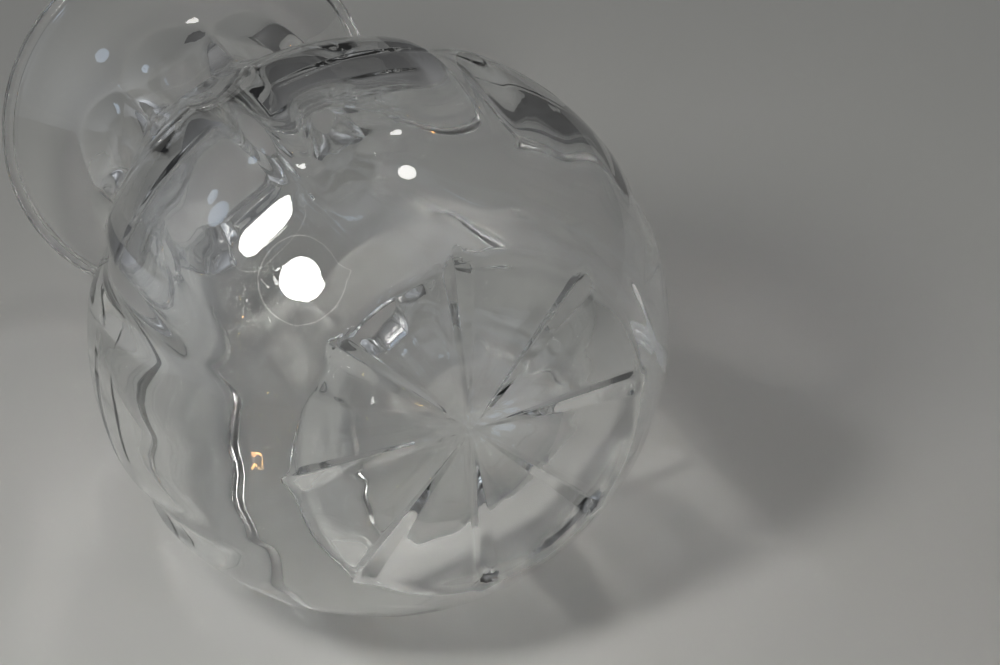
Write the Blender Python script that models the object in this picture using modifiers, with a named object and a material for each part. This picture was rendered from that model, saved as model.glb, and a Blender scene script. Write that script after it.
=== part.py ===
"""Cut crystal vase: one blown piece of lead crystal, wheel cut all round.

Metres, +Z up.  The origin is the centre of the flat base.  The eight rays of the base star point at
0, 45, 90 ... degrees; the eight long hollow cuts and the eight neck flutes lie midway between them.
"""

import math

import bmesh
import bpy
from mathutils import Vector

# ---- Outside ------------------------------------------------------------------------------------
HEIGHT = 0.150
BODY_R = 0.050
BODY_Z = 0.04025  # height of the widest point
FOOT_ROUND = 0.0045  # rounding of the edge between the flat base and the body
SHOULDER_PULL = 0.0250  # how far the wall stays upright above the belly and below the waist
WAIST_R = 0.0270  # narrowest part of the neck, before the flutes
WAIST_Z = 0.1150
FLARE_PULL = 0.0160
FLARE_R = 0.0330  # the flare leans out to here before it turns to the rim
FLARE_Z = 0.1410
RIM_R = 0.0404
RIM_INNER_R = 0.0373
RIM_ROUND = 0.0008

# ---- Inside -------------------------------------------------------------------------------------
FLOOR_Z = 0.0060  # solid glass under the inside
FLOOR_R = 0.0230  # how far the floor stays flat, roughly
BOWL_R = 0.0445
BOWL_DROP = 0.0250
BOWL_RISE = 0.0260
NECK_BORE_R = 0.0196
NECK_DROP = 0.0240
MOUTH_R = 0.0296
MOUTH_Z = 0.1400

# ---- Cuts ---------------------------------------------------------------------------------------
FOLD = 8
PITCH = math.tau / FOLD
STAR_LENGTH = 0.0316  # where a groove runs out through the rounded foot
STAR_DEPTH = 0.0015
STAR_START = 0.06  # depth in the middle of the base, as a share of the greatest
STAR_SPREAD = 1.7  # half width of a groove over its depth
STAR_ENDS = (-0.02, 1.1)  # a cutter goes a little past both ends of its groove, in shares of its length
STAR_MARGIN = 0.0004  # how far a cutter stands proud of the glass

HOLLOW_BOTTOM_Z = 0.0160
HOLLOW_TOP_Z = 0.0960
HOLLOW_DEPTH = 0.00225
HOLLOW_ARC_R = 0.0100
HOLLOW_BLUNTNESS = 0.7
HOLLOW_STATIONS = 14
HOLLOW_SIDES = 6

FLUTE_TOP_Z = 0.1310
FLUTE_BOTTOM_Z = 0.0985
FLUTE_DEPTH = 0.0042
FLUTE_RAMP = 0.20  # share of its length over which a flute reaches its full depth
FLUTE_ARC_R = 0.0300
ROUND_MARGIN = 0.0008  # how far the cutters of hollows and flutes stand proud of the glass
FLUTE_STATIONS = 12
FLUTE_SIDES = 8

RUNOUT = 0.0002  # how far the ends of the upright cutters lift off the glass
LID = 0.004  # how far the cutter of the inside stands above the rim

# ---- Resolution ---------------------------------------------------------------------------------
OUTER_STEPS = 64
INNER_STEPS = 40
OUTER_RINGS = 7
INNER_RINGS = 5
FOOT_RINGS = 5
SHARPEST_SMOOTH = math.radians(25)


def clear_scene():
    for obj in list(bpy.data.objects):
        bpy.data.objects.remove(obj, do_unlink=True)


def new_collection(name, parent):
    collection = bpy.data.collections.new(name)
    parent.children.link(collection)
    return collection


def bezier(p0, p1, p2, p3, count):
    """Points of a cubic curve in the (r, z) plane, without its first point."""
    points = []
    for i in range(1, count + 1):
        t = i / count
        a, b, c, d = (1 - t) ** 3, 3 * t * (1 - t) ** 2, 3 * t * t * (1 - t), t ** 3
        points.append((a * p0[0] + b * p1[0] + c * p2[0] + d * p3[0],
                       a * p0[1] + b * p1[1] + c * p2[1] + d * p3[1]))
    return points


def arc(centre_r, centre_z, radius, start, end, count):
    """Points of an arc in the (r, z) plane, without its first point; angles from the +r axis."""
    points = []
    for i in range(1, count + 1):
        angle = start + (end - start) * i / count
        points.append((centre_r + radius * math.cos(angle), centre_z + radius * math.sin(angle)))
    return points


def outer_wall(count):
    """The uncut outside from the edge of the flat base up to just under the rim, as (r, z) points."""
    flat_r = math.sqrt((BODY_R - FOOT_ROUND) ** 2 - (BODY_Z - FOOT_ROUND) ** 2)
    turn = math.atan2(FOOT_ROUND - BODY_Z, flat_r)
    points = [(flat_r, 0.0)]
    points += arc(flat_r, FOOT_ROUND, FOOT_ROUND, -math.pi / 2, turn, FOOT_RINGS)
    points += arc(0.0, BODY_Z, BODY_R, turn, 0.0, count)
    points += bezier((BODY_R, BODY_Z), (BODY_R, BODY_Z + SHOULDER_PULL),
                     (WAIST_R, WAIST_Z - SHOULDER_PULL), (WAIST_R, WAIST_Z), 2 * count)
    points += bezier((WAIST_R, WAIST_Z), (WAIST_R, WAIST_Z + FLARE_PULL),
                     (FLARE_R, FLARE_Z), (RIM_R, HEIGHT - RIM_ROUND), count)
    return points


def inner_wall(count):
    """The blown inside from the rim down to the floor, as (r, z) points."""
    points = [(RIM_INNER_R, HEIGHT - RIM_ROUND)]
    points += bezier(points[0], (MOUTH_R, MOUTH_Z),
                     (NECK_BORE_R, WAIST_Z + FLARE_PULL), (NECK_BORE_R, WAIST_Z), count)
    points += bezier((NECK_BORE_R, WAIST_Z), (NECK_BORE_R, WAIST_Z - NECK_DROP),
                     (BOWL_R, BODY_Z + BOWL_RISE), (BOWL_R, BODY_Z), 2 * count)
    points += bezier((BOWL_R, BODY_Z), (BOWL_R, BODY_Z - BOWL_DROP),
                     (FLOOR_R, FLOOR_Z), (0.0, FLOOR_Z), 2 * count)
    return points


def turned(name, profile, steps, collection):
    """A solid of revolution: the profile runs down the outside and ends on the axis."""
    mesh = bpy.data.meshes.new(name)
    vertices = [(r, 0.0, z) for r, z in profile]
    mesh.from_pydata(vertices, [(i, i + 1) for i in range(len(vertices) - 1)], [])
    obj = bpy.data.objects.new(name, mesh)
    collection.objects.link(obj)
    screw = obj.modifiers.new("Turn", "SCREW")
    screw.axis = "Z"
    screw.angle = math.tau
    screw.steps = steps
    screw.render_steps = steps
    screw.use_merge_vertices = True
    screw.merge_threshold = 0.00001
    return obj


def as_cutter(obj):
    obj.display_type = "WIRE"
    obj.hide_render = True
    return obj


def surface_at(wall, z):
    """(r, outward normal in the r-z plane) of the uncut outside at height z."""
    for (r0, z0), (r1, z1) in zip(wall, wall[1:]):
        if z0 <= z <= z1:
            share = (z - z0) / (z1 - z0)
            along = Vector((r1 - r0, z1 - z0)).normalized()
            return r0 + share * (r1 - r0), Vector((along.y, -along.x))
    raise ValueError("height outside the wall")


def loft(name, sections, collection):
    """A closed cutter through sections that all have the same number of corners."""
    corners = len(sections[0])
    built = bmesh.new()
    rings = [[built.verts.new(point) for point in section] for section in sections]
    for ring, following in zip(rings, rings[1:]):
        for i in range(corners):
            j = (i + 1) % corners
            built.faces.new((ring[i], ring[j], following[j], following[i]))
    built.faces.new(list(reversed(rings[0])))
    built.faces.new(rings[-1])
    bmesh.ops.recalc_face_normals(built, faces=built.faces)
    mesh = bpy.data.meshes.new(name)
    built.to_mesh(mesh)
    built.free()
    obj = as_cutter(bpy.data.objects.new(name, mesh))
    collection.objects.link(obj)
    return obj


def mitre_sections(stations):
    """V sections of a wheel cut.  Each station is (point, outward, forward, depth)."""
    sections = []
    for point, outward, forward, depth in stations:
        across = outward.cross(forward).normalized()
        half = (depth + STAR_MARGIN) * STAR_SPREAD
        top = point + outward * STAR_MARGIN
        sections.append((point - outward * depth, top + across * half, top - across * half))
    return sections


def round_sections(stations, radius, sides):
    """Round sections of a wheel cut.  Each station is (point, outward, forward, depth)."""
    sections = []
    for point, outward, forward, depth in stations:
        across = outward.cross(forward).normalized()
        centre = point + outward * (radius - depth)
        reach = math.acos((radius - depth - ROUND_MARGIN) / radius)
        section = []
        for i in range(sides + 1):
            angle = reach * (2 * i / sides - 1)
            section.append(centre - outward * (radius * math.cos(angle))
                           + across * (radius * math.sin(angle)))
        sections.append(section)
    return sections


def rotated(stations, angle):
    """The same stations turned about the vase's axis."""
    c, s = math.cos(angle), math.sin(angle)

    def turn(v):
        return Vector((c * v.x - s * v.y, s * v.x + c * v.y, v.z))

    return [(turn(p), turn(n), turn(f), depth) for p, n, f, depth in stations]


def star_depth(share):
    """Depth of a ray of the star: its straight bottom climbs from the middle of the base outwards."""
    return STAR_DEPTH * (STAR_START + (1 - STAR_START) * share)


def star_ray():
    """One groove of the base star, from the centre out through the rounded foot."""
    stations = []
    for share in STAR_ENDS:
        point = Vector((STAR_LENGTH * share, 0, 0))
        stations.append((point, Vector((0, 0, -1)), Vector((1, 0, 0)), star_depth(share)))
    return stations


def upright_cut(wall, bottom, top, depth_at, count):
    """Stations of a cut that climbs the outside in the plane y = 0."""
    stations = []
    for i in range(count + 1):
        share = i / count
        z = bottom + share * (top - bottom)
        r, normal = surface_at(wall, z)
        outward = Vector((normal.x, 0, normal.y))
        forward = Vector((-normal.y, 0, normal.x))
        stations.append((Vector((r, 0, z)), outward, forward, depth_at(share)))
    return stations


def hollow_depth(share):
    return HOLLOW_DEPTH * (4 * share * (1 - share)) ** HOLLOW_BLUNTNESS - RUNOUT


def flute_depth(share):
    rise = min(share, 1 - share) / FLUTE_RAMP
    return FLUTE_DEPTH * min(1.0, rise) - RUNOUT * max(0.0, 1 - rise)


def glass(name):
    material = bpy.data.materials.new(name)
    material.use_nodes = True
    shader = material.node_tree.nodes["Principled BSDF"]
    shader.inputs["Base Color"].default_value = (0.90, 0.92, 0.92, 1.0)
    shader.inputs["Roughness"].default_value = 0.03
    shader.inputs["Metallic"].default_value = 0.0
    shader.inputs["IOR"].default_value = 1.55
    shader.inputs["Transmission Weight"].default_value = 1.0
    return material


def cut(obj, name, collection):
    """Takes every cutter of a collection out of the object."""
    modifier = obj.modifiers.new(name, "BOOLEAN")
    modifier.operation = "DIFFERENCE"
    modifier.operand_type = "COLLECTION"
    modifier.collection = collection
    modifier.solver = "EXACT"


def blown_body(parts, cutters):
    """The vase as it leaves the mould: the turned outside with the inside taken out."""
    wall = outer_wall(OUTER_RINGS)
    outside = [(0.0, HEIGHT), (RIM_R - RIM_ROUND, HEIGHT)] + wall[::-1] + [(0.0, 0.0)]
    vase = turned("crystal_vase", outside, OUTER_STEPS, parts)
    vase.data.materials.append(glass("Lead crystal"))

    inside_cut = new_collection("Inside", cutters)
    above = HEIGHT + LID
    mouth = RIM_INNER_R + RIM_ROUND
    inside = [(0.0, above), (mouth, above), (mouth, HEIGHT)] + inner_wall(INNER_RINGS)
    as_cutter(turned("cut_inside", inside, INNER_STEPS, inside_cut))
    cut(vase, "Inside", inside_cut)
    return vase, wall


def wheel_cuts(vase, wall, cutters):
    """The base star, the long hollows of the body and the flutes of the neck."""
    stars = new_collection("Star", cutters)
    hollows = new_collection("Hollows", cutters)
    flutes = new_collection("Flutes", cutters)
    hollow = upright_cut(wall, HOLLOW_BOTTOM_Z, HOLLOW_TOP_Z, hollow_depth, HOLLOW_STATIONS)
    flute = upright_cut(wall, FLUTE_BOTTOM_Z, FLUTE_TOP_Z, flute_depth, FLUTE_STATIONS)
    for k in range(FOLD):
        middle = (k + 0.5) * PITCH
        section = mitre_sections(rotated(star_ray(), k * PITCH))
        loft(f"cut_star_{k}", section, stars)
        section = round_sections(rotated(hollow, middle), HOLLOW_ARC_R, HOLLOW_SIDES)
        loft(f"cut_hollow_{k}", section, hollows)
        section = round_sections(rotated(flute, middle), FLUTE_ARC_R, FLUTE_SIDES)
        loft(f"cut_flute_{k}", section, flutes)
    cut(vase, "Star", stars)
    cut(vase, "Hollows", hollows)
    cut(vase, "Flutes", flutes)


def finish(vase):
    """Applies the cuts, then shades the blown surfaces smooth and the edges of the cuts crisp."""
    graph = bpy.context.evaluated_depsgraph_get()
    mesh = bpy.data.meshes.new_from_object(vase.evaluated_get(graph))
    vase.modifiers.clear()
    vase.data = mesh
    mesh.shade_smooth()
    mesh.set_sharp_from_angle(angle=SHARPEST_SMOOTH)


def build():
    clear_scene()
    parts = new_collection("Cut crystal vase", bpy.context.scene.collection)
    cutters = new_collection("Cutters", bpy.context.scene.collection)
    cutters.hide_render = True
    vase, wall = blown_body(parts, cutters)
    wheel_cuts(vase, wall, cutters)
    finish(vase)


build()
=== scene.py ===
"""Looks for the cut crystal vase: blown lead crystal with softened wheel cuts, and the studio round it."""

import math

import bpy
import numpy as np
from mathutils import Matrix, Vector


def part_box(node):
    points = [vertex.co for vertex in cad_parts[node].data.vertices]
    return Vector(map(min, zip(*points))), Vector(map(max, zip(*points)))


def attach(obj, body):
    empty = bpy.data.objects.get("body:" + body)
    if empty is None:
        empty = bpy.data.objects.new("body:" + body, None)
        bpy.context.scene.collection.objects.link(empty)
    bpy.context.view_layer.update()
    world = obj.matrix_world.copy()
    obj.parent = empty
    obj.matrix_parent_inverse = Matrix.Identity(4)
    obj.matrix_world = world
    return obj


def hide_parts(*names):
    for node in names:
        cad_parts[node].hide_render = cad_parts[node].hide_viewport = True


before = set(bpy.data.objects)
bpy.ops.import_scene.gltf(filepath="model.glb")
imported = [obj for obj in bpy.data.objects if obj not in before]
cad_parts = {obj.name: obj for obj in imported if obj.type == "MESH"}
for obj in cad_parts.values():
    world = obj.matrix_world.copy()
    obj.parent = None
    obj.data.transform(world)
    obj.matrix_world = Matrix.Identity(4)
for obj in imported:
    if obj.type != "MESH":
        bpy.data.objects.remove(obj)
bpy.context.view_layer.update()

LOW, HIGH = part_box("crystal_vase")
R = (HIGH.x - LOW.x) / 2  # radius of the round body
HEIGHT = HIGH.z

# ---- Outside -------------------------------------------------------------------------------------
BODY_Z = 0.805 * R
FOOT_ROUND = 0.09 * R  # radius of the polished edge between the flat base and the body
WAIST_R = 0.54 * R
WAIST_Z = 2.30 * R
RIM_R = 0.808 * R
RIM_INNER_R = 0.746 * R
RIM_ROUND = 0.022 * R
# A pull is the length of a curve's handle: the longer it is, the further the curve keeps its direction.
SHOULDER_PULL = 0.50 * R
NECK_PULL = 0.32 * R
FLARE = (0.66 * R, 2.82 * R)  # r and z of the curve's handle below the rim

# ---- Inside --------------------------------------------------------------------------------------
FLOOR_Z = 0.12 * R
FLOOR_PULL = 0.46 * R
BOWL_R = 0.89 * R
BOWL_PULL_DOWN = 0.50 * R
BOWL_PULL_UP = 0.52 * R
NECK_BORE_R = 0.392 * R
BORE_PULL_DOWN = 0.48 * R
BORE_PULL_UP = 0.32 * R
INNER_FLARE = (0.592 * R, 2.80 * R)
WAVE_DEPTH = 0.008 * R
WAVE_TOP_Z = 2.6 * R
WAVE_FADE = 0.40 * R  # the waves die out over this height below the mouth and this radius at the middle
WAVE_FLOOR = 0.45 * R  # below this height they start to lift the floor instead of the wall
WAVES = (  # share, how many round the vase, turn for each R of height, turn at the base
    (1.00, 3, 2.1, 0.0),
    (0.60, 7, -3.4, 1.0),
    (0.35, 13, 1.7, 2.0),
    (0.25, 23, -5.0, 0.0),
    (0.15, 2, 9.0, 0.0),
)

# ---- Cuts ----------------------------------------------------------------------------------------
FOLD = 8
PITCH = math.tau / FOLD
EDGE_SOFTNESS = 0.011 * R  # the acid polish rounds every edge of a cut about this much
STAR_SOFTNESS = 0.0008 * R  # the base star stays crisp
BASE_SLOPE = 0.7  # up to this outward lean of its normal, the wall has the star's crisp edges

STAR_LENGTH = 0.632 * R  # where a groove runs out through the foot
STAR_DEPTH = 0.030 * R
STAR_START = 0.06  # share of the depth at the middle
STAR_SPREAD = 1.7  # half width of a groove over its depth

HOLLOW_BOTTOM_Z = 0.32 * R
HOLLOW_TOP_Z = 1.92 * R
HOLLOW_DEPTH = 0.045 * R
HOLLOW_ARC_R = 0.20 * R
HOLLOW_BLUNTNESS = 0.7  # 1 gives a parabola; less makes the ends blunter
RUNOUT = 0.004 * R  # how far the ends of a hollow lift off the glass

FLUTE_TOP_Z = 2.62 * R
FLUTE_BOTTOM_Z = 1.97 * R
FLUTE_DEPTH = 0.084 * R
FLUTE_ARC_R = 0.60 * R
FLUTE_RAMP = 0.20  # share of a flute's length over which each end deepens
FLUTE_LIFT = 0.3  # share of the depth by which a flute stays clear of the glass past its ends

# ---- Grid ----------------------------------------------------------------------------------------
# Columns of a half sector, first across the cut and then from its edge to the next half sector.
# They crowd at a cut's middle, at its edge and at the middle of the panel, where the surface turns
# fastest.
ACROSS_CUT = (0.0, 0.05, 0.14, 0.28, 0.44, 0.60, 0.75, 0.87, 0.95)
BESIDE_CUT = (0.0, 0.05, 0.13, 0.25, 0.40, 0.56, 0.72, 0.86, 0.95)
NARROWEST = math.radians(1.2)
WIDEST = math.radians(21.0)
STEEPEST = 0.9  # sine of the widest angle to a cut's edge
STAR_SLOPE = 0.3  # up to this outward lean of its normal, the columns follow the star's edges
STAR_INNER_R = 0.02 * R
STAR_NARROWEST = 0.20 * PITCH
STAR_WIDEST = 0.47 * PITCH
SMOOTHING_PASSES = 2
TINY = 1e-6  # stands in for a radius of zero where something is divided by it

BASE_RINGS = 48
BASE_CROWDING = 0.8  # below 1 the rings of the base crowd towards the foot
FOOT_RINGS = 16
BELLY_RINGS = 44
SHOULDER_RINGS = 92
MOUTH_RINGS = 40
RIM_RINGS = 11
MOUTH_RINGS_INSIDE = 16
BOWL_RINGS_INSIDE = 26

BLOWN = 0
CUT = 1

# ---- Crystal -------------------------------------------------------------------------------------
CRYSTAL_TINT = (0.985, 0.992, 0.99, 1.0)
CRYSTAL_IOR = 1.56
BLOWN_BUMP = 0.02
CUT_BUMP = 0.01
BUMP_DISTANCE = 0.0004
BUMP_SCALE = 22.0  # waves in a metre
MARK_SCALE = 60.0
MARK_RANGE = (0.45, 0.75)  # noise values between which the handling marks fade in
MARK_ROUGHNESS = 0.004

# ---- Studio --------------------------------------------------------------------------------------
CAMERA_AZIMUTH = math.radians(-124.63)
CAMERA_TILT = math.radians(35.26)  # between the line of sight and the vase's axis, seen from below
CAMERA_ROLL = math.radians(315.08)
CAMERA_DISTANCE = 7.301 * R
CAMERA_SHIFT = Vector((-0.088 * R, -0.309 * R))
LENS = 82.8  # millimetres, as the sensor's width is
SENSOR = 36.0
CLIP_START = 0.01

FLOOR_NORMAL = Vector((0.0405, -0.9955, -0.0860)).normalized()
FLOOR_GAP = 0.0002  # keeps the floor clear of the body's surface
FLOOR_HALF = 1.2
FLOOR_COLOUR = (0.62, 0.62, 0.597, 1)

LAMP_WAY = (-0.580, -0.684, -0.442)  # direction from the body
LAMP_DISTANCE = 5.2 * R
LAMP_R = 0.68 * R
LAMP_POWER = 0.106
LAMP_SPREAD = math.radians(100)
LAMP_COLOUR = (1.0, 0.985, 0.95)
SHADE_R = 1.42 * R
SHADE_EDGE = 0.015 * R
SHADE_COLOUR = (1.0, 0.97, 0.92, 1)
SHADE_GLOW = 5.0

FAR_LIGHTS = (  # name, direction from the body, distance, width, watts, colour
    ("Ceiling lamp", (0.214, -0.970, -0.117), 1.6, 0.17, 1.0, (1.0, 0.98, 0.94)),
    ("Small lamp", (0.448, -0.876, 0.176), 1.6, 0.02, 0.08, (1.0, 0.40, 0.10)),
    ("Window", (-0.65, -0.66, 0.37), 2.4, 0.34, 0.9, (0.62, 0.78, 1.0)),
)
ROOM_GREY = (0.036, 0.036, 0.036)
SKY_PATCHES = (  # direction, sharpness, colour
    ((0.04, -1.00, -0.09), 6.0, (0.06, 0.06, 0.06)),
    ((0.38, -0.64, -0.67), 8.0, (0.30, 0.30, 0.29)),
    ((-0.83, -0.24, 0.33), 6.0, (0.72, 0.75, 0.80)),
    ((0.35, -0.09, -0.86), 6.0, (0.34, 0.34, 0.32)),
    ((0.38, -0.74, 0.55), 8.0, (0.16, 0.16, 0.16)),
)
BOUNCES = 24
MIRROR_BOUNCES = 12


# ---- Profile -------------------------------------------------------------------------------------
def bezier(p0, p1, p2, p3, count):
    """Points of a cubic curve in the (r, z) plane, without its first point."""
    t = (np.arange(count) + 1)[:, None] / count
    p0, p1, p2, p3 = (np.array(p) for p in (p0, p1, p2, p3))
    return (1 - t) ** 3 * p0 + 3 * t * (1 - t) ** 2 * p1 + 3 * t * t * (1 - t) * p2 + t ** 3 * p3


def arc(centre, radius, start, end, count):
    """Points of an arc in the (r, z) plane, without its first point; angles from the +r axis."""
    angle = start + (end - start) * (np.arange(count) + 1) / count
    return np.stack([centre[0] + radius * np.cos(angle), centre[1] + radius * np.sin(angle)], axis=1)


def outer_wall():
    """The uncut outside, from the middle of the base up to the rim's outer round."""
    base_r = math.sqrt((R - FOOT_ROUND) ** 2 - (BODY_Z - FOOT_ROUND) ** 2)
    foot_end = math.atan2(FOOT_ROUND - BODY_Z, base_r)
    spacing = np.linspace(0, 1, BASE_RINGS + 1) ** BASE_CROWDING
    base = np.stack([base_r * spacing, np.zeros(BASE_RINGS + 1)], axis=1)
    foot = arc((base_r, FOOT_ROUND), FOOT_ROUND, -math.pi / 2, foot_end, FOOT_RINGS)
    belly = arc((0, BODY_Z), R, foot_end, 0.0, BELLY_RINGS)
    shoulder = bezier((R, BODY_Z), (R, BODY_Z + SHOULDER_PULL),
                      (WAIST_R, WAIST_Z - SHOULDER_PULL), (WAIST_R, WAIST_Z), SHOULDER_RINGS)
    mouth = bezier((WAIST_R, WAIST_Z), (WAIST_R, WAIST_Z + NECK_PULL),
                   FLARE, (RIM_R, HEIGHT - RIM_ROUND), MOUTH_RINGS)
    return np.concatenate([base, foot, belly, shoulder, mouth])


def rim():
    """The fire-polished lip, from the outside over the top to the inside."""
    middle = (RIM_R + RIM_INNER_R) / 2
    half = (RIM_R - RIM_INNER_R) / 2
    angle = math.pi * (np.arange(RIM_RINGS) + 1) / (RIM_RINGS + 1)
    return np.stack([middle + half * np.cos(angle),
                     HEIGHT - RIM_ROUND + RIM_ROUND * np.sin(angle)], axis=1)


def inner_wall():
    """The blown inside, from the rim down to the middle of the floor."""
    top = (RIM_INNER_R, HEIGHT - RIM_ROUND)
    mouth = bezier(top, INNER_FLARE,
                   (NECK_BORE_R, WAIST_Z + BORE_PULL_UP), (NECK_BORE_R, WAIST_Z), MOUTH_RINGS_INSIDE)
    bowl = bezier((NECK_BORE_R, WAIST_Z), (NECK_BORE_R, WAIST_Z - BORE_PULL_DOWN),
                  (BOWL_R, BODY_Z + BOWL_PULL_UP), (BOWL_R, BODY_Z), BOWL_RINGS_INSIDE)
    floor = bezier((BOWL_R, BODY_Z), (BOWL_R, BODY_Z - BOWL_PULL_DOWN),
                   (FLOOR_PULL, FLOOR_Z), (0.0, FLOOR_Z), BOWL_RINGS_INSIDE)
    return np.concatenate([np.array([top]), mouth, bowl, floor])


# ---- Cuts ----------------------------------------------------------------------------------------
# A cut is a depth below the uncut wall, along the wall's outward normal.
def soft_max(a, b, width):
    """The larger of two depths, with the edge where they cross rounded."""
    return 0.5 * (a + b + np.sqrt((a - b) ** 2 + width ** 2))


def star_depth(along):
    """Height of a star ray's straight bottom line: it climbs outwards until the body rises past it."""
    return STAR_DEPTH * (STAR_START + (1 - STAR_START) * along / STAR_LENGTH)


def star_groove(r, z, angle):
    """Depth of a star ray's V at points this angle from its bottom line, which is slightly rounded."""
    across = r * np.sin(angle)
    climb = np.sqrt(across ** 2 + STAR_SOFTNESS ** 2) - STAR_SOFTNESS
    return star_depth(r * np.cos(angle)) - climb / STAR_SPREAD - z


def hollow_depth(z):
    """Depth of a long hollow of the belly: it deepens fast from both of its ends."""
    share = np.clip((z - HOLLOW_BOTTOM_Z) / (HOLLOW_TOP_Z - HOLLOW_BOTTOM_Z), 0, 1)
    return HOLLOW_DEPTH * (4 * share * (1 - share)) ** HOLLOW_BLUNTNESS - RUNOUT


def flute_depth(z):
    """Depth of a neck flute: a level bottom with a short ramp at each end."""
    share = (z - FLUTE_BOTTOM_Z) / (FLUTE_TOP_Z - FLUTE_BOTTOM_Z)
    rise = np.minimum(share, 1 - share) / FLUTE_RAMP
    return FLUTE_DEPTH * np.clip(rise, -FLUTE_LIFT, 1.0)


def reach(depth, arc_r, r, normal_r):
    """How far to each side a round cut of this depth runs before it leaves the wall."""
    return math.sqrt(max(float(depth), 0.0) / (0.5 / arc_r + 0.5 * normal_r / r))


def cut_edge(r, z, normal_r):
    """Angle from the middle of a hollow or flute to its edge; on the base, to the edge of a star ray."""
    if normal_r < STAR_SLOPE:
        half = STAR_SPREAD * star_depth(min(r, STAR_LENGTH))
        edge = PITCH / 2 - half / max(r, STAR_INNER_R)
        return min(max(edge, STAR_NARROWEST), STAR_WIDEST)
    widest = max(reach(hollow_depth(z), HOLLOW_ARC_R, r, normal_r),
                 reach(flute_depth(z), FLUTE_ARC_R, r, normal_r))
    edge = math.asin(min(widest / r, STEEPEST))
    return min(max(edge, NARROWEST), WIDEST)


def cut_depth(r, z, normal_r, normal_z, angle):
    """Depth of every cut at points of one ring; angles are from the middle of the nearest hollow."""
    depth = np.full_like(angle, -R)
    for turned in (angle, PITCH - angle):
        across = r * np.sin(turned)
        drop = normal_r * r * (1 - np.cos(turned))
        hollow = hollow_depth(z) - across ** 2 / (2 * HOLLOW_ARC_R) - drop
        flute = flute_depth(z) - across ** 2 / (2 * FLUTE_ARC_R) - drop
        depth = soft_max(depth, hollow, EDGE_SOFTNESS)
        depth = soft_max(depth, flute, EDGE_SOFTNESS)
    if normal_z < 0:
        for turned in (PITCH / 2 - angle, PITCH / 2 + angle):
            groove = star_groove(r, z, turned) * -normal_z
            depth = soft_max(depth, groove, STAR_SOFTNESS)
    return soft_max(depth, 0.0, STAR_SOFTNESS if normal_r < BASE_SLOPE else EDGE_SOFTNESS)


# ---- Vase ----------------------------------------------------------------------------------------
def half_sector(edge):
    """Angles of the columns from the middle of a cut to the middle of the panel beside it."""
    across = edge * np.array(ACROSS_CUT)
    beside = edge + (PITCH / 2 - edge) * np.array(BESIDE_CUT)
    return np.concatenate([across, beside, [PITCH / 2]])


def mirrored(row):
    """Values of one whole sector from those of its half, without repeating either end."""
    return np.concatenate([row, row[-2:0:-1]])


def full_ring(half, r, z):
    """Points of a whole ring from those of one half sector."""
    angle = np.concatenate([half, PITCH - half[-2:0:-1]])
    r = mirrored(r)
    z = mirrored(z)
    points = []
    for k in range(FOLD):
        turn = angle + (k + 0.5) * PITCH
        points.append(np.stack([r * np.cos(turn), r * np.sin(turn), z], axis=1))
    return np.concatenate(points)


def with_waves(ring, r, z):
    """A ring of the inside, which the blowing left slightly wavy below the mouth."""
    angle = np.arctan2(ring[:, 1], ring[:, 0])
    climb = z / R
    wave = np.zeros_like(angle)
    for share, count, turn, start in WAVES:
        wave += share * np.sin(count * angle + turn * climb + start)
    below_mouth = np.clip((WAVE_TOP_Z - z) / WAVE_FADE, 0, 1)
    lift = WAVE_DEPTH * wave * below_mouth * min(r / WAVE_FADE, 1)
    on_floor = np.clip(1 - z / WAVE_FLOOR, 0, 1)
    ring[:, :2] *= 1 + (lift / max(r, TINY) * (1 - on_floor))[:, None]
    ring[:, 2] += lift * on_floor
    return ring


def smooth_row(values):
    """The same row of angles with its jumps between neighbouring rings evened out a little."""
    row = np.array(values)
    for _ in range(SMOOTHING_PASSES):
        row[1:-1] = (row[:-2] + 2 * row[1:-1] + row[2:]) / 4
    return row


def vase_rings():
    """Vertices of every ring and the depth of the cuts there, in order round the wall."""
    wall = outer_wall()
    tangent = np.gradient(wall, axis=0)
    tangent /= np.linalg.norm(tangent, axis=1)[:, None]
    edges = smooth_row([cut_edge(max(r, TINY), z, tz) for (r, z), (_, tz) in zip(wall, tangent)])
    rings = []
    depths = []
    for (r, z), (tr, tz), edge in zip(wall, tangent, edges):
        half = half_sector(edge)
        depth = cut_depth(r, z, tz, -tr, half)
        rings.append(full_ring(half, r - tz * depth, z + tr * depth))
        depths.append(np.tile(mirrored(depth), FOLD))
    half = half_sector(edges[-1])
    for r, z in np.concatenate([rim(), inner_wall()]):
        ring = full_ring(half, np.full_like(half, r), np.full_like(half, z))
        rings.append(with_waves(ring, r, z))
        depths.append(np.zeros(len(ring)))
    return rings, np.array(depths)


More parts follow.
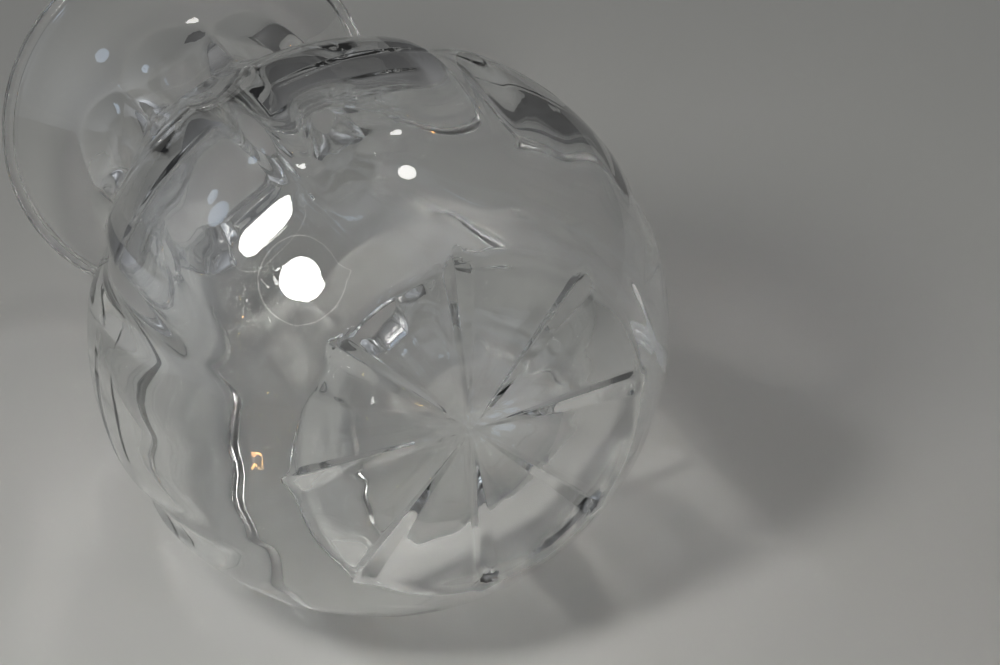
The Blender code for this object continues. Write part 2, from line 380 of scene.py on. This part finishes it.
def vase_mesh(blown, cut):
    """The whole glass as one closed surface: rings of quads with a fan at each end."""
    rings, depths = vase_rings()
    count = len(rings[0])
    between = rings[1:-1]
    shallowest = np.minimum(depths, np.roll(depths, -1, axis=1))
    shallowest = np.minimum(shallowest[1:-2], shallowest[2:-1])  # of each quad's four corners
    points = [[0.0, 0.0, float(rings[0][:, 2].mean())]]
    points += np.concatenate(between).tolist()
    points.append([0.0, 0.0, float(rings[-1][:, 2].mean())])
    faces = []
    kinds = []
    for j in range(count):
        faces.append((0, 1 + (j + 1) % count, 1 + j))
        kinds.append(CUT)
    for i in range(len(between) - 1):
        start = 1 + i * count
        for j in range(count):
            k = (j + 1) % count
            faces.append((start + j, start + k, start + count + k, start + count + j))
            kinds.append(CUT if shallowest[i, j] > EDGE_SOFTNESS else BLOWN)
    top = 1 + (len(between) - 1) * count
    for j in range(count):
        faces.append((top + j, top + (j + 1) % count, len(points) - 1))
        kinds.append(BLOWN)
    mesh = bpy.data.meshes.new("vase")
    mesh.from_pydata(points, [], faces)
    mesh.materials.append(blown)
    mesh.materials.append(cut)
    mesh.polygons.foreach_set("material_index", kinds)
    mesh.shade_smooth()
    mesh.update()
    vase = bpy.data.objects.new("vase_glass", mesh)
    bpy.context.scene.collection.objects.link(vase)
    return vase


# ---- Materials -----------------------------------------------------------------------------------
def node(tree, kind, **values):
    """A new node; each value sets its property of that name or, failing that, its input."""
    made = tree.nodes.new(kind)
    for key, value in values.items():
        if hasattr(made, key):
            setattr(made, key, value)
        else:
            made.inputs[key.replace("_", " ")].default_value = value
    return made


def crystal(name, bump_strength):
    """Clear lead crystal, with a faint unevenness and a trace of handling marks."""
    material = bpy.data.materials.new(name)
    material.use_nodes = True
    tree = material.node_tree
    shader = tree.nodes["Principled BSDF"]
    shader.inputs["Base Color"].default_value = CRYSTAL_TINT
    shader.inputs["IOR"].default_value = CRYSTAL_IOR
    shader.inputs["Transmission Weight"].default_value = 1.0
    place = node(tree, "ShaderNodeTexCoord")
    marks = node(tree, "ShaderNodeTexNoise", Scale=MARK_SCALE, Detail=4.0)
    spread = node(tree, "ShaderNodeMapRange", From_Min=MARK_RANGE[0], From_Max=MARK_RANGE[1],
                  To_Min=0.0, To_Max=MARK_ROUGHNESS)
    waves = node(tree, "ShaderNodeTexNoise", Scale=BUMP_SCALE, Detail=2.0)
    bump = node(tree, "ShaderNodeBump", Strength=bump_strength, Distance=BUMP_DISTANCE)
    tree.links.new(place.outputs["Object"], marks.inputs["Vector"])
    tree.links.new(place.outputs["Object"], waves.inputs["Vector"])
    tree.links.new(marks.outputs["Fac"], spread.inputs["Value"])
    tree.links.new(spread.outputs["Result"], shader.inputs["Roughness"])
    tree.links.new(waves.outputs["Fac"], bump.inputs["Height"])
    tree.links.new(bump.outputs["Normal"], shader.inputs["Normal"])
    return material


# ---- Studio --------------------------------------------------------------------------------------
def basis(x, y, z, origin):
    """The matrix that has these axes and this origin."""
    return Matrix(((x.x, y.x, z.x, origin.x), (x.y, y.y, z.y, origin.y),
                   (x.z, y.z, z.z, origin.z), (0, 0, 0, 1)))


def camera_axes():
    """The camera's right, up and backward directions."""
    back = Vector((math.sin(CAMERA_TILT) * math.cos(CAMERA_AZIMUTH),
                   math.sin(CAMERA_TILT) * math.sin(CAMERA_AZIMUTH), -math.cos(CAMERA_TILT)))
    level = Vector((0, 0, 1)).cross(back).normalized()
    rise = back.cross(level)
    right = level * math.cos(CAMERA_ROLL) + rise * math.sin(CAMERA_ROLL)
    up = rise * math.cos(CAMERA_ROLL) - level * math.sin(CAMERA_ROLL)
    return right, up, back


def add_camera():
    """The camera faces the base at a slant, and the mouth of the vase is turned away from it."""
    right, up, back = camera_axes()
    place = back * CAMERA_DISTANCE - right * CAMERA_SHIFT.x - up * CAMERA_SHIFT.y
    data = bpy.data.cameras.new("Camera")
    data.lens = LENS
    data.sensor_width = SENSOR
    data.clip_start = CLIP_START
    camera = bpy.data.objects.new("Camera", data)
    camera.matrix_world = basis(right, up, back, place)
    bpy.context.scene.collection.objects.link(camera)
    bpy.context.scene.camera = camera


def floor_axes():
    """Two directions along the floor, and the point of it just under the body."""
    along = Vector((0, 0, 1)) - FLOOR_NORMAL * FLOOR_NORMAL.z
    along.normalize()
    across = along.cross(FLOOR_NORMAL)
    touch = Vector((0, 0, BODY_Z)) - FLOOR_NORMAL * (R + FLOOR_GAP)
    return across, along, touch


def add_floor():
    """The pale surface the vase lies on, which shows from the vase's side only."""
    across, along, touch = floor_axes()
    mesh = bpy.data.meshes.new("Floor")
    corners = [(x * FLOOR_HALF, y * FLOOR_HALF, 0) for x, y in ((-1, -1), (1, -1), (1, 1), (-1, 1))]
    mesh.from_pydata(corners, [], [(0, 1, 2, 3)])
    floor = bpy.data.objects.new("Floor", mesh)
    floor.matrix_world = basis(across, along, FLOOR_NORMAL, touch)
    bpy.context.scene.collection.objects.link(floor)
    material = bpy.data.materials.new("Floor")
    material.use_nodes = True
    tree = material.node_tree
    tree.nodes.clear()
    out = node(tree, "ShaderNodeOutputMaterial")
    paint = node(tree, "ShaderNodeBsdfDiffuse", Color=FLOOR_COLOUR)
    clear = node(tree, "ShaderNodeBsdfTransparent")
    side = node(tree, "ShaderNodeNewGeometry")
    mix = node(tree, "ShaderNodeMixShader")
    tree.links.new(side.outputs["Backfacing"], mix.inputs[0])
    tree.links.new(paint.outputs[0], mix.inputs[1])
    tree.links.new(clear.outputs[0], mix.inputs[2])
    tree.links.new(mix.outputs[0], out.inputs[0])
    mesh.materials.append(material)


def add_light(name, direction, distance, size, power, colour):
    """A disc lamp that faces the body from a direction."""
    data = bpy.data.lights.new(name, "AREA")
    data.shape = "DISK"
    data.size = size
    data.energy = power
    data.color = colour
    light = bpy.data.objects.new(name, data)
    centre = Vector((0, 0, BODY_Z))
    direction = Vector(direction).normalized()
    light.location = centre + direction * distance
    light.rotation_euler = direction.to_track_quat("Z", "Y").to_euler()
    bpy.context.scene.collection.objects.link(light)
    return light


def add_lamp():
    """The desk lamp: a bright disc in a shade whose edge catches a little light."""
    lamp = add_light("Lamp", LAMP_WAY, LAMP_DISTANCE, 2 * LAMP_R, LAMP_POWER, LAMP_COLOUR)
    lamp.data.spread = LAMP_SPREAD
    bpy.ops.mesh.primitive_torus_add(location=lamp.location, rotation=lamp.rotation_euler,
                                     major_radius=SHADE_R, minor_radius=SHADE_EDGE,
                                     major_segments=96, minor_segments=8)
    shade = bpy.context.object
    shade.name = "Lamp shade"
    shade.visible_camera = False
    glow = bpy.data.materials.new("Lamp shade")
    glow.use_nodes = True
    shader = glow.node_tree.nodes["Principled BSDF"]
    shader.inputs["Base Color"].default_value = (0, 0, 0, 1)
    shader.inputs["Emission Color"].default_value = SHADE_COLOUR
    shader.inputs["Emission Strength"].default_value = SHADE_GLOW
    shade.data.materials.append(glow)


def sky_patch(tree, place, direction, sharpness, colour):
    """A soft round patch of light in the surroundings; returns the socket of its colour."""
    toward = node(tree, "ShaderNodeVectorMath", operation="DOT_PRODUCT")
    toward.inputs[1].default_value = Vector(direction).normalized()
    off = node(tree, "ShaderNodeMath", operation="MULTIPLY_ADD")
    off.inputs[1].default_value = sharpness
    off.inputs[2].default_value = -sharpness
    falloff = node(tree, "ShaderNodeMath", operation="EXPONENT")
    tint = node(tree, "ShaderNodeVectorMath", operation="SCALE")
    tint.inputs[0].default_value = colour
    tree.links.new(place, toward.inputs[0])
    tree.links.new(toward.outputs["Value"], off.inputs[0])
    tree.links.new(off.outputs[0], falloff.inputs[0])
    tree.links.new(falloff.outputs[0], tint.inputs["Scale"])
    return tint.outputs[0]


def add_world():
    """Dim surroundings with soft bright patches: ceiling, walls and the light of a window."""
    world = bpy.data.worlds.new("Studio")
    bpy.context.scene.world = world
    world.use_nodes = True
    tree = world.node_tree
    place = node(tree, "ShaderNodeTexCoord").outputs["Generated"]
    total = node(tree, "ShaderNodeRGB").outputs[0]
    total.default_value = (*ROOM_GREY, 1)
    for direction, sharpness, colour in SKY_PATCHES:
        both = node(tree, "ShaderNodeVectorMath", operation="ADD")
        tree.links.new(total, both.inputs[0])
        tree.links.new(sky_patch(tree, place, direction, sharpness, colour), both.inputs[1])
        total = both.outputs[0]
    tree.links.new(total, tree.nodes["Background"].inputs["Color"])


def set_look():
    """Enough bounces for light to cross the glass, and none of its bright spots cut off."""
    scene = bpy.context.scene
    scene.view_settings.view_transform = "Standard"
    scene.cycles.max_bounces = BOUNCES
    scene.cycles.transmission_bounces = BOUNCES
    scene.cycles.glossy_bounces = MIRROR_BOUNCES
    scene.cycles.sample_clamp_indirect = 0.0
    scene.cycles.blur_glossy = 0.0


def build():
    vase = vase_mesh(crystal("Polished crystal", BLOWN_BUMP), crystal("Cut crystal", CUT_BUMP))
    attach(vase, "root")
    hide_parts("crystal_vase")
    add_camera()
    add_floor()
    add_world()
    add_lamp()
    for light in FAR_LIGHTS:
        add_light(*light)
    set_look()


build()
